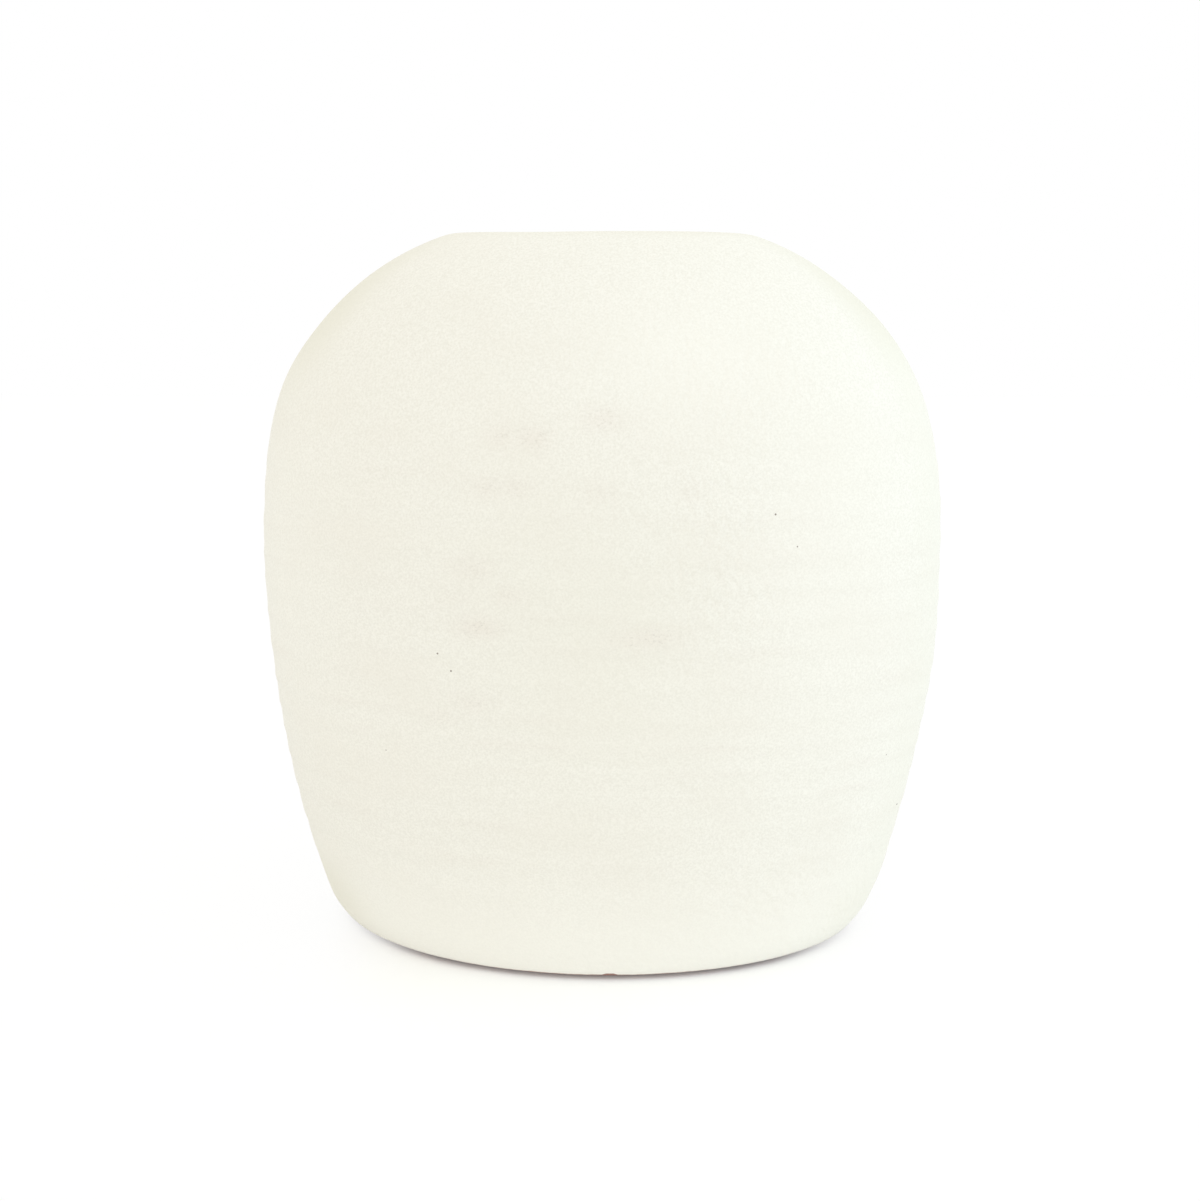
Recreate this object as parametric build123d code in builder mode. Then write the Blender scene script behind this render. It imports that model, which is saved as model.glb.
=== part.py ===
"""Pillow vase in glazed stoneware.

The wall is thrown round, without a floor, and pressed to an oval while the clay is soft. A slab closes
the foot: it is luted on with slip, and a coil of soft clay is pressed into the corner inside. One glaze
lines the pot, and another covers the outside, over the lip and down to the bare foot edge.

Millimetres, +Z up. The origin is the middle of the foot on the table, X runs along the width of the pot
and the broad front face looks along -Y.
"""

import os
from math import hypot

from build123d import *

# Outside of the glazed pot
overall_height = 200
belly_width = 195
belly_depth = 100
belly_height = 112
mouth_width = 84
mouth_depth = 30
foot_width = 158
foot_depth = 89

# How far the outline goes from an ellipse, at 0, towards a square corner, at 1
shoulder_square_share = 0.165
flank_square_share = 0.065

# Clay wall, measured square to its surface
wall_at_foot = 6.5
wall_at_lip = 4.2

# Glaze coats, inside and out
glaze_thickness = 0.8

# Mouth: the flat lip, how far down the opening keeps its size, and how far in the outer glaze reaches
lip_width = 5
lip_round = 1.5
mouth_reach = 12
lip_overlap = 4

# Foot: the ends of the oval tuck in towards the table, and the edge is rounded and bare below the glaze line
end_tuck = 2.6
tuck_reach = 8
foot_round = 2
glaze_line = 1.1

# Slab that closes the foot, hollowed inside the ring that it stands on
slab_thickness = 9
slip_thickness = 0.6
coil_leg = 6
foot_ring_width = 11
foot_hollow_depth = 1.2

# How far a cut runs past the face that it opens
overrun = 5

# Places of the lofted sections, as shares of the way from the belly to either end of a form
upper_shares = (0.25, 0.5, 0.72, 0.88, 1)
lower_shares = (0.25, 0.5, 0.72, 0.88, 0.94, 0.96, 0.98, 1)

# Levels up the pot
wall_bottom = slab_thickness + slip_thickness
clay_top = overall_height - glaze_thickness
liner_top = overall_height - lip_overlap
reach_bottom = overall_height - mouth_reach
reach_top = overall_height + overrun

# How far the hollow under the foot is set in from the foot edge
hollow_set_in = foot_round + foot_ring_width


def swell(share, full, end, square_share):
    """Half size of the pot, and how fast it shrinks, at a share of the way from the belly to an end.

    The outline is a stretch of a superellipse: upright at the belly, where it measures full, and cut
    off where it has come down to end.
    """
    power = 2 / (1 - square_share)
    drop = 1 - (end / full) ** power
    left = 1 - drop * share**power
    half = full * left ** (1 / power)
    shrink = full * drop * share ** (power - 1) * left ** (1 / power - 1)
    return half, shrink


def tuck(height):
    """How far an end of the oval is tucked in at a height, and how fast that grows towards the table."""
    share = max(1 - height / tuck_reach, 0)
    return end_tuck * share**2, 2 * end_tuck * share / tuck_reach


def half_sizes(height, inset):
    """Half width and half depth of the surface that lies inset inside the outside of the pot."""
    if height > belly_height:
        span = overall_height - belly_height
        ends = (mouth_width / 2, mouth_depth / 2)
        square_shares = (shoulder_square_share, 0)
    else:
        span = belly_height
        ends = (foot_width / 2, foot_depth / 2)
        square_shares = (flank_square_share, 0)
    share = abs(height - belly_height) / span
    fulls = (belly_width / 2, belly_depth / 2)
    tucks = (tuck(height), (0, 0))
    sizes = []
    for full, end, square_share, (tucked, lean) in zip(fulls, ends, square_shares, tucks):
        half, shrink = swell(share, full, end, square_share)
        sizes.append(half - tucked - inset * hypot(1, shrink / span + lean))
    return sizes


def pillow(low, high, low_inset, high_inset):
    """The form of the pot between two heights, drawn in by an inset that changes evenly on the way."""
    heights = [belly_height - share * (belly_height - low) for share in reversed(lower_shares)]
    heights.append(belly_height)
    heights.extend(belly_height + share * (high - belly_height) for share in upper_shares)
    with BuildPart() as form:
        for height in heights:
            inset = low_inset + (high_inset - low_inset) * (height - low) / (high - low)
            with BuildSketch(Plane.XY.offset(height)):
                Ellipse(*half_sizes(height, inset))
        loft()
    return form.part


def mouth(set_in, low, high):
    """An upright oval, set in from the edge of the lip, between two heights."""
    with BuildPart() as opening:
        with BuildSketch(Plane.XY.offset(low)):
            Ellipse(mouth_width / 2 - set_in, mouth_depth / 2 - set_in)
        extrude(amount=high - low)
    return opening.part


# The clay as one solid form, with the foot edge rounded
with BuildPart() as clay:
    add(pillow(0, clay_top, glaze_thickness, glaze_thickness))
    fillet(clay.edges().group_by(Axis.Z)[0], foot_round)

# The hollow in the clay, with a sharp corner round the floor, and the same with the corner filled
clay_hollow = pillow(
    slab_thickness,
    clay_top,
    wall_at_foot + glaze_thickness,
    wall_at_lip + glaze_thickness,
)
clay_mouth = mouth(lip_width - glaze_thickness, reach_bottom, reach_top)
with BuildPart() as filled_hollow:
    add(clay_hollow)
    chamfer(filled_hollow.edges().group_by(Axis.Z)[0], coil_leg)

# The space that the liner leaves free
free_mouth = mouth(lip_width, reach_bottom, reach_top)
with BuildPart() as free_space:
    add(
        pillow(
            slab_thickness + glaze_thickness,
            clay_top - glaze_thickness,
            wall_at_foot + 2 * glaze_thickness,
            wall_at_lip + 2 * glaze_thickness,
        )
    )
    chamfer(free_space.edges().group_by(Axis.Z)[0], coil_leg)
    add(free_mouth)

# Thrown wall
with BuildPart() as thrown_wall:
    add(clay.part)
    split(bisect_by=Plane.XY.offset(wall_bottom), keep=Keep.TOP)
    add(clay_hollow, mode=Mode.SUBTRACT)
    add(clay_mouth, mode=Mode.SUBTRACT)

# Slip between the wall and the slab
with BuildPart() as slip_joint:
    add(clay.part)
    split(bisect_by=Plane.XY.offset(slab_thickness), keep=Keep.TOP)
    split(bisect_by=Plane.XY.offset(wall_bottom), keep=Keep.BOTTOM)
    add(clay_hollow, mode=Mode.SUBTRACT)

# Slab, hollowed inside the ring that it stands on
with BuildPart() as base_slab:
    add(clay.part)
    split(bisect_by=Plane.XY.offset(slab_thickness), keep=Keep.BOTTOM)
    with BuildSketch(Plane.XY):
        Ellipse(foot_width / 2 - end_tuck - hollow_set_in, foot_depth / 2 - hollow_set_in)
    extrude(amount=foot_hollow_depth, mode=Mode.SUBTRACT)

# Coil pressed into the corner round the floor
with BuildPart() as seam_coil:
    add(clay_hollow)
    add(filled_hollow.part, mode=Mode.SUBTRACT)

# Liner glaze, up to where the outer glaze comes in over the lip
with BuildPart() as liner_glaze:
    add(filled_hollow.part)
    add(clay_mouth)
    split(bisect_by=Plane.XY.offset(liner_top), keep=Keep.BOTTOM)
    add(free_space.part, mode=Mode.SUBTRACT)

# Outer glaze: the outside above the glaze line less the clay, turned down into the mouth
with BuildPart() as outer_glaze:
    add(pillow(0, overall_height, 0, 0))
    fillet(outer_glaze.edges().group_by(Axis.Z)[0], foot_round)
    add(clay.part, mode=Mode.SUBTRACT)
    split(bisect_by=Plane.XY.offset(glaze_line), keep=Keep.TOP)
    add(mouth(lip_width - glaze_thickness, liner_top, clay_top))
    add(free_mouth, mode=Mode.SUBTRACT)
    fillet(outer_glaze.edges().group_by(Axis.Z)[-1], lip_round)

os.makedirs("parts", exist_ok=True)

thrown_wall.part.label = "thrown_wall"
export_step(thrown_wall.part, "parts/thrown_wall.step")
slip_joint.part.label = "slip_joint"
export_step(slip_joint.part, "parts/slip_joint.step")
base_slab.part.label = "base_slab"
export_step(base_slab.part, "parts/base_slab.step")
seam_coil.part.label = "seam_coil"
export_step(seam_coil.part, "parts/seam_coil.step")
liner_glaze.part.label = "liner_glaze"
export_step(liner_glaze.part, "parts/liner_glaze.step")
outer_glaze.part.label = "outer_glaze"
export_step(outer_glaze.part, "parts/outer_glaze.step")
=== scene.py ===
"""Pillow vase in cream glazed stoneware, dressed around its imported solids.

Every piece is an oval surface: a profile of half widths, half depths and heights is carried round the upright
axis, and all the layers of the pot then share the same marks of the hand, so that they stay nested.

Metres, +Z up. X runs along the width of the pot, and the broad front face looks along -Y.
"""

from math import cos, pi, radians, sin

import bpy
import numpy as np
from bpy.props import FloatProperty, FloatVectorProperty, IntProperty, PointerProperty
from bpy.types import Operator, Panel, PropertyGroup
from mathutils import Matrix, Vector


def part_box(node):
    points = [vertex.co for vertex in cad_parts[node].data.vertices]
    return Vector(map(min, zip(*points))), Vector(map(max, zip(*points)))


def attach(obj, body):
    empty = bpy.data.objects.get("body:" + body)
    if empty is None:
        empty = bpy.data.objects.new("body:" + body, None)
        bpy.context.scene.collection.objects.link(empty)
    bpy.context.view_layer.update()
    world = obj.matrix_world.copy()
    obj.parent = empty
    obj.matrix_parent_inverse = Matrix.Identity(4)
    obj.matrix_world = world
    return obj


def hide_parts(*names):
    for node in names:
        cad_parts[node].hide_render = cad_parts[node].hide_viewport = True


bl_info = {
    "name": "Pillow vase",
    "version": (1, 0, 0),
    "blender": (4, 5, 0),
    "location": "3D View > Sidebar > Pillow vase",
    "description": "Builds the wall, foot, glaze coats and stage of a pressed stoneware vase",
    "category": "Object",
}

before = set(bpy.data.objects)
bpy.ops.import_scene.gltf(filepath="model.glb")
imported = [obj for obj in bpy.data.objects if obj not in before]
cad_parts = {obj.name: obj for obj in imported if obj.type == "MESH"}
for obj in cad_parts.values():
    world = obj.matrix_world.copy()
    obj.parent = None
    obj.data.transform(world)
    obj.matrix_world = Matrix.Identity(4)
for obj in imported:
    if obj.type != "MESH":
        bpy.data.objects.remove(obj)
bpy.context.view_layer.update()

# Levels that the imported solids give
GLAZE_LOW, GLAZE_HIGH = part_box("outer_glaze")
WALL_LOW, WALL_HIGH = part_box("thrown_wall")
SLAB_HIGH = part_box("base_slab")[1]
LINER_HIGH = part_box("liner_glaze")[1]
COIL_LOW, COIL_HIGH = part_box("seam_coil")
TOP = GLAZE_HIGH.z
GLAZE_LINE = GLAZE_LOW.z
GLAZE = GLAZE_HIGH.z - WALL_HIGH.z
CLAY_TOP = WALL_HIGH.z
WALL_BOTTOM = WALL_LOW.z
FLOOR = SLAB_HIGH.z
LINER_TOP = LINER_HIGH.z
COIL_LEG = COIL_HIGH.z - COIL_LOW.z

# Heights up the front face where the fingers left a groove on each turn of the wheel
RING_HEIGHTS = (
    0.017, 0.028, 0.0385, 0.0485, 0.056, 0.0635, 0.071, 0.0785, 0.0895,
    0.0975, 0.107, 0.1135, 0.124, 0.134, 0.1425, 0.1525, 0.163,
)

# Heights where the throwing rings begin, are full, begin to fade and are smoothed over
RING_START, RING_FULL, RING_FADING, RING_TOP = 0.012, 0.030, 0.130, 0.158

# Slow waves of the pressed wall: seed of the draws, number, most radians that one turns in a metre of height
WAVE_SEED, WAVES, WAVE_CLIMB = 11, 5, 60

# Heights below which the marks push straight out, and above which they push square to the wall
LEVEL_BELOW, SQUARE_ABOVE = 0.004, 0.030

# Lift of the lip: share of the way to the left end where it begins, and how far down it goes
LIFT_START, LIFT_REACH = 0.3, 0.030

# Heights up to which the foot is turned, and its ends have sprung
TWIST_REACH, SPRING_REACH = 0.060, 0.025

# Places where the pressing hands left the outline fuller, or flatter where the depth is negative:
# angle round the pot, height, spread in angle, spread in height, depth
PRESS_MARKS = (
    (pi, 0.162, 0.6, 0.012, 0.0007),
    (pi, 0.129, 0.6, 0.014, -0.0006),
    (0.0, 0.187, 0.5, 0.008, -0.0004),
    (0.0, 0.160, 0.5, 0.012, 0.0004),
    (0.0, 0.084, 0.5, 0.020, 0.0008),
    (0.0, 0.016, 0.5, 0.009, 0.0006),
    (pi, 0.006, 0.4, 0.009, 0.0005),
    (-pi / 2, 0.0, 0.8, 0.02, 0.0011),
)

# Places on the front face where the glaze is thin over a finger mark: across, up, half length, strength
THIN_PLACES = (
    (-0.025, 0.148, 0.004, 0.6),
    (-0.0165, 0.148, 0.004, 0.9),
    (-0.0275, 0.1355, 0.005, 0.6),
    (-0.021, 0.1355, 0.004, 0.6),
    (0.0, 0.1345, 0.005, 0.4),
    (0.0235, 0.1345, 0.004, 0.4),
    (0.001, 0.1525, 0.006, 0.8),
    (-0.032, 0.115, 0.006, 0.5),
    (-0.0225, 0.108, 0.005, 0.5),
    (-0.0385, 0.1065, 0.005, 0.3),
    (-0.031, 0.0995, 0.006, 1.0),
    (0.012, 0.097, 0.009, 0.8),
    (-0.033, 0.079, 0.006, 0.5),
    (-0.0415, 0.075, 0.006, 0.3),
)

# Patches of painted shade and painted light on a face: across, up, half width, half height, and strength,
# which is above 0 for the warmer, darker painted shade and below 0 for the paler painted light and highlight
PAINTED_LIGHT_SHADE_PATCHES = (
    (-0.003, 0.100, 0.030, 0.036, 0.30),
    (0.022, 0.168, 0.028, 0.018, -0.42),
    (0.058, 0.125, 0.022, 0.040, -0.20),
    (-0.090, 0.110, 0.014, 0.036, -0.20),
)

# Places on a face where the glaze drew together into pebbles: across, up, half width, half height, strength
PEBBLED_PLACES = (
    (0.028, 0.110, 0.018, 0.030, 1.0),
    (0.047, 0.024, 0.011, 0.007, 0.7),
    (0.002, 0.128, 0.014, 0.010, 0.6),
)

# Iron specks on the front face: across, up, radius
IRON_SPECKS = (
    (-0.042, 0.092, 0.00025),
    (-0.0385, 0.0875, 0.00025),
    (0.045, 0.1285, 0.00025),
    (0.051, 0.12, 0.0002),
    (0.086, 0.04, 0.00025),
    (-0.0575, 0.0635, 0.00015),
    (0.08, 0.0585, 0.00015),
)

# Painted shade, warm and darker, at the ends of the shoulder and of the foot: height, half height, shares of
# the half width where it begins and where it is full, strength on the left and on the right
PAINTED_SHADE_AT_ENDS = (
    (0.180, 0.020, 0.80, 0.98, 1.0, 1.0),
    (0.012, 0.012, 0.70, 0.95, 0.75, 0.4),
)


def length(name, description, default):
    """A length that a user can set, in metres."""
    return FloatProperty(
        name=name, description=description, default=default, subtype="DISTANCE", unit="LENGTH", precision=5
    )


def number(name, description, default):
    """A number from nothing up, without a unit."""
    return FloatProperty(name=name, description=description, default=default, min=0)


def whole_number(name, description, default):
    """A whole number of at least 1."""
    return IntProperty(name=name, description=description, default=default, min=1)


def turn_of(name, description, degrees):
    """An angle that is written here in degrees."""
    return FloatProperty(name=name, description=description, default=radians(degrees), subtype="ANGLE")


def share(name, description, default):
    """A share from nothing to all."""
    return FloatProperty(name=name, description=description, default=default, min=0, max=1, subtype="FACTOR")


def colour(name, description, default):
    """A colour in linear light."""
    return FloatVectorProperty(
        name=name, description=description, default=(*default, 1), size=4, min=0, max=1, subtype="COLOR"
    )


class PotShape(PropertyGroup):
    """Sizes of the pot, as thrown, pressed and glazed."""

    belly_width: length("Belly width", "Widest measure along the oval", GLAZE_HIGH.x - GLAZE_LOW.x)
    belly_depth: length("Belly depth", "Widest measure across the oval", GLAZE_HIGH.y - GLAZE_LOW.y)
    belly_height: length("Belly height", "Height of the widest place above the table", 0.112)
    mouth_width: length("Mouth width", "Length of the lip's outer oval", 0.084)
    mouth_depth: length("Mouth depth", "Depth of the lip's outer oval", 0.030)
    foot_width: length("Foot width", "Length of the foot's oval before its ends are tucked in", 0.158)
    foot_depth: length("Foot depth", "Depth of the foot's oval before its edge is rounded", 0.089)
    end_tuck: length("End tuck", "How far the ends of the oval tuck in at the table", 0.0026)
    tuck_reach: length("Tuck reach", "Height at which the tuck begins", 0.008)
    shoulder_square: share("Shoulder squareness", "From an ellipse towards a square shoulder", 0.165)
    flank_square: share("Flank squareness", "From an ellipse towards an upright flank", 0.065)
    wall_at_foot: length("Wall at the foot", "Thickness of the clay wall above the slab", 0.0065)
    wall_at_lip: length("Wall at the lip", "Thickness of the clay wall below the lip", 0.0042)
    lip_width: length("Lip width", "Width of the flat lip", 0.005)
    lip_round: length("Lip rounding", "Radius of the lip's edges", 0.0015)
    mouth_reach: length("Mouth reach", "How far down the opening keeps its size", 0.012)
    foot_round: length("Foot rounding", "Radius of the foot edge", 0.002)
    foot_ring_width: length("Foot ring width", "Width of the ring that the pot stands on", 0.011)
    foot_hollow_depth: length("Foot hollow", "Depth of the hollow under the pot", 0.0012)


class HandMarks(PropertyGroup):
    """Traces of the making that all layers share."""

    ring_depth: length("Ring depth", "Half the height of the throwing rings", 0.000125)
    unevenness: length("Unevenness", "Depth of the slowest wave in the pressed wall", 0.00018)
    rim_lift: length("Rim lift", "How far the lip rises at its left end", 0.0006)
    foot_twist: turn_of("Foot twist", "Turn of the foot against the belly", -2.5)
    foot_shift: length("Foot shift", "How far the foot stands off the middle, along the width", -0.0008)
    end_lift: length("End lift", "How far the foot has sprung up from the table at its two ends", 0.0007)
    columns: whole_number("Columns", "Points round the outer coat", 384)
    outside_rows: whole_number("Rows", "Points up the outer coat", 188)


class PotLook(PropertyGroup):
    """Colours of the glazes and the clay."""

    cream_pale: colour("Pale cream", "Crystals in the outer glaze", (0.905, 0.883, 0.785))
    cream_deep: colour("Deep cream", "Outer glaze between the crystals", (0.825, 0.80, 0.702))
    cream_warm: colour("Warm cream", "Clouds in the outer glaze", (0.84, 0.80, 0.695))
    thin_glaze: colour("Thin glaze", "Outer glaze where the clay shows through", (0.79, 0.71, 0.62))
    # Warm lip, and the warm colour of the painted shade at the ends of the shoulder and the foot and in the
    # middle of the front
    warm_lip_and_painted_shade: colour("Warm edge", "Outer glaze at the ends of shoulder and foot", (0.81, 0.785, 0.66))
    pit: colour("Pit", "Fine pits where the glaze is thin", (0.60, 0.56, 0.48))
    # Painted light: paler cream for the painted light from the floor above the foot and for the painted
    # highlights on the faces
    painted_light: colour("Gathered glaze", "Outer glaze that ran together above the foot", (0.93, 0.91, 0.815))
    foot_blush: colour("Foot blush", "Edge of the glaze over the foot", (0.33, 0.19, 0.16))
    liner: colour("Liner glaze", "Glaze inside the pot", (0.84, 0.80, 0.69))
    liner_pool: colour("Liner pool", "Liner glaze where it ran together", (0.78, 0.75, 0.66))
    clay: colour("Clay", "Bare fired stoneware", (0.26, 0.14, 0.105))
    clay_dark: colour("Dark clay", "Stoneware where the fire darkened it", (0.15, 0.08, 0.065))
    grog: colour("Grog", "Pale grit in the clay", (0.52, 0.38, 0.28))
    slip: colour("Slip", "Slip between wall and slab", (0.38, 0.22, 0.15))
    iron: colour("Iron", "Specks of iron in the glaze", (0.10, 0.055, 0.035))


class GlazeTexture(PropertyGroup):
    """Sizes of the patterns in the outer glaze."""

    grain_size: length("Grain size", "Crystals in the glaze", 0.0006)
    grain_depth: length("Grain depth", "Height of the crystals", 0.00006)
    peel_size: length("Peel size", "Pebbles of the orange-peel surface", 0.0021)
    peel_depth: length("Peel depth", "Height of the pebbles", 0.00022)
    peel_patch: length("Peel patch", "Places where the pebbles are stronger or weaker", 0.05)
    cloud_size: length("Cloud size", "Warm clouds in the glaze", 0.035)
    sheen_size: length("Sheen size", "Duller and glossier places", 0.012)
    pit_size: length("Pit size", "Fine pits where the glaze is thin", 0.0009)
    # Heights of the painted light from the floor, which pales the glaze above the foot
    painted_light_low: length("Gathered low", "Height at which the glaze would be all gathered", -0.012)
    painted_light_top: length("Gathered top", "Height up to which the glaze has gathered", 0.042)
    speck_spacing: length("Speck spacing", "Between the cells that may hold a speck", 0.0135)
    edge_wander: length("Edge wander", "How far the glaze edge strays over the foot", 0.0004)
    wander_size: length("Wander size", "Length of the strays along the edge", 0.004)


class StageSetup(PropertyGroup):
    """Floor, light and camera."""

    floor_size: length("Floor size", "Side of the square floor", 6.0)
    floor_colour: colour("Floor colour", "Paper of the floor, as the pot sees it", (0.92, 0.92, 0.92))
    floor_seen: colour("Floor seen", "Paper of the floor, as the picture shows it", (1.0, 0.99, 0.95))
    floor_white: share("Floor white", "Plain white in the shadow along the broad faces of the pot", 0.1)
    end_white: share("End white", "Plain white in the shadow beyond the ends of the pot", 0.9)
    shadow_full: length("Full shadow", "Half width of the floor that keeps its shadow", 0.045)
    shadow_end: length("Shadow end", "Half width of the floor where the shadow has given way", 0.085)
    fill_colour: colour("Fill colour", "Colour of the even light", (1.0, 0.998, 0.995))
    fill_level: number("Fill level", "Strength of the even light", 1.057)
    key_colour: colour("Key colour", "Colour of the window light", (0.5, 0.74, 1.0))
    key_level: number("Key level", "What the window light adds to the fill", 0.22)
    lamp_distance: length("Lamp distance", "From the pot to the window light", 1.2)
    lamp_size: length("Lamp size", "Side of the window light", 0.7)
    key_turn: turn_of("Key turn", "Turn of the window light from the front", 80)
    key_rise: turn_of("Key rise", "Climb from the pot to the window light", 25)
    camera_place: FloatVectorProperty(
        name="Camera place", description="Where the camera stands", default=(0.0044, -0.365, 0.1745),
        size=3, subtype="TRANSLATION", unit="LENGTH", precision=5,
    )
    camera_turn: FloatVectorProperty(
        name="Camera turn", description="How the camera is turned", default=(pi / 2 - 0.21, 0, 0.0127),
        size=3, subtype="EULER", precision=5,
    )
    camera_lens: FloatProperty(name="Camera lens", description="Focal length", default=38.1, unit="CAMERA")


# Surfaces


def swell(reach, full, end, square):
    """Half size and its loss per unit of reach, on a superellipse that is cut off at its end size.

    half = full * (1 - drop * reach ** power) ** (1 / power), where drop makes it end at reach 1.
    """
    power = 2 / (1 - square)
    drop = 1 - (end / full) ** power
    left = 1 - drop * reach**power
    half = full * left ** (1 / power)
    loss = full * drop * reach ** (power - 1) * left ** (1 / power - 1)
    return half, loss


def oval_sizes(shape, heights):
    """Half widths and half depths of the outside at each height, and how fast each shrinks upwards.

    Each is a swell from the belly to the mouth or the foot. Near the table the half width also loses
    tuck * (1 - height / reach) ** 2.
    """
    heights = np.clip(heights, 0, TOP)
    above = heights > shape.belly_height
    span = np.where(above, TOP - shape.belly_height, shape.belly_height)
    reach = np.abs(heights - shape.belly_height) / span
    sizes, slopes = [], []
    for full, upper_end, lower_end, upper_square, lower_square in (
        (shape.belly_width, shape.mouth_width, shape.foot_width, shape.shoulder_square, shape.flank_square),
        (shape.belly_depth, shape.mouth_depth, shape.foot_depth, 0, 0),
    ):
        upper, upper_loss = swell(reach, full / 2, upper_end / 2, upper_square)
        lower, lower_loss = swell(reach, full / 2, lower_end / 2, lower_square)
        sizes.append(np.where(above, upper, lower))
        slopes.append(np.where(above, upper_loss, -lower_loss) / span)
    short_of_tuck = np.clip(1 - heights / shape.tuck_reach, 0, 1)
    sizes[0] -= shape.end_tuck * short_of_tuck**2
    slopes[0] -= 2 * shape.end_tuck / shape.tuck_reach * short_of_tuck
    return np.stack(sizes, axis=-1), np.stack(slopes, axis=-1)


def skin_rows(shape, heights, inset):
    """Profile rows at the heights, on the surface that lies inset inside the outside, square to it.

    The foot edge is a quarter circle: radius - sqrt(radius ** 2 - (radius - height) ** 2) is taken off
    each half size.
    """
    sizes, slopes = oval_sizes(shape, heights)
    short_of_round = np.clip(shape.foot_round - heights, 0, shape.foot_round)
    taken_off = shape.foot_round - np.sqrt(shape.foot_round**2 - short_of_round**2)
    halves = sizes - np.reshape(inset, (-1, 1)) * np.hypot(1, slopes) - taken_off[:, None]
    return np.column_stack((halves, heights))


def skin(shape, low, high, count, low_inset=0.0, high_inset=None):
    """Profile rows from one height to another, evenly spaced along the outline in width.

    The inset changes evenly with height from the low one to the high one.
    """
    high_inset = low_inset if high_inset is None else high_inset
    fine = np.linspace(low, high, 10 * count)
    rows = skin_rows(shape, fine, np.linspace(low_inset, high_inset, 10 * count))
    steps = np.hypot(np.diff(rows[:, 0]), np.diff(fine))
    travelled = np.concatenate(([0], np.cumsum(steps)))
    share_up = np.interp(np.linspace(0, travelled[-1], count), travelled, np.linspace(0, 1, 10 * count))
    return skin_rows(shape, low + (high - low) * share_up, low_inset + (high_inset - low_inset) * share_up)


def straight(start, end, count):
    """Profile rows on a line from start up to, but not including, end."""
    steps = np.linspace(0, 1, count, endpoint=False)[:, None]
    return np.asarray(start) * (1 - steps) + np.asarray(end) * steps


def eased(start, corner, end, count):
    """Profile rows on a quadratic curve that leaves start towards corner and comes into end from it."""
    steps = np.linspace(0, 1, count, endpoint=False)[:, None]
    near, middle, far = (1 - steps) ** 2, 2 * steps * (1 - steps), steps**2
    return near * np.asarray(start) + middle * np.asarray(corner) + far * np.asarray(end)


def rise(values, low, high):
    """Smooth step from 0 at low to 1 at high."""
    reach = np.clip((values - low) / (high - low), 0, 1)
    return reach * reach * (3 - 2 * reach)


def angle_off(angle, middle):
    """Angle from the middle, between -pi and pi."""
    return (angle - middle + pi) % (2 * pi) - pi


def throwing_rings(hand, angle, height):
    """Rings on the wall: one spiral groove that rises a ring on each turn round the pot.

    relief = -cos(turn) + 0.35 * cos(2 * turn + drift), where turn goes through 2 pi from one ring height to
    the next and once round the pot, and drift is a slow sine of angle and height. The strength is 0.75 and a
    quarter of two slow waves, and it fades at the foot and at the smoothed shoulder.
    """
    rings = np.interp(height, RING_HEIGHTS, np.arange(len(RING_HEIGHTS)))
    turn = 2 * pi * rings + angle_off(angle, -pi / 2)
    drift = 2 * np.sin(2 * angle + 31 * height)
    relief = -np.cos(turn) + 0.35 * np.cos(2 * turn + drift)
    strength = 0.75 + 0.25 * np.sin(3 * angle + 47 * height) * np.cos(2 * angle - 90 * height)
    fade = rise(height, RING_START, RING_FULL) * (1 - rise(height, RING_FADING, RING_TOP))
    return hand.ring_depth * relief * strength * fade


def hand_relief(hand, angle, height):
    """How far the pressed wall stands out from the even form, by angle and height.

    Slow cosine waves of seeded climb and phase, each as deep as unevenness / waves round the pot, and a
    bell-shaped rise or hollow at each press mark.
    """
    draws = np.random.default_rng(WAVE_SEED)
    relief = np.zeros(np.broadcast(angle, height).shape)
    for waves in range(1, WAVES + 1):
        climb, phase = draws.uniform(-WAVE_CLIMB, WAVE_CLIMB), draws.uniform(0, 2 * pi)
        relief += hand.unevenness / waves * np.cos(waves * angle + climb * height + phase)
    for middle, level, wide, tall, depth in PRESS_MARKS:
        bell = np.exp(-((angle_off(angle, middle) / wide) ** 2) - ((height - level) / tall) ** 2)
        relief += depth * bell
    return relief


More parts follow.
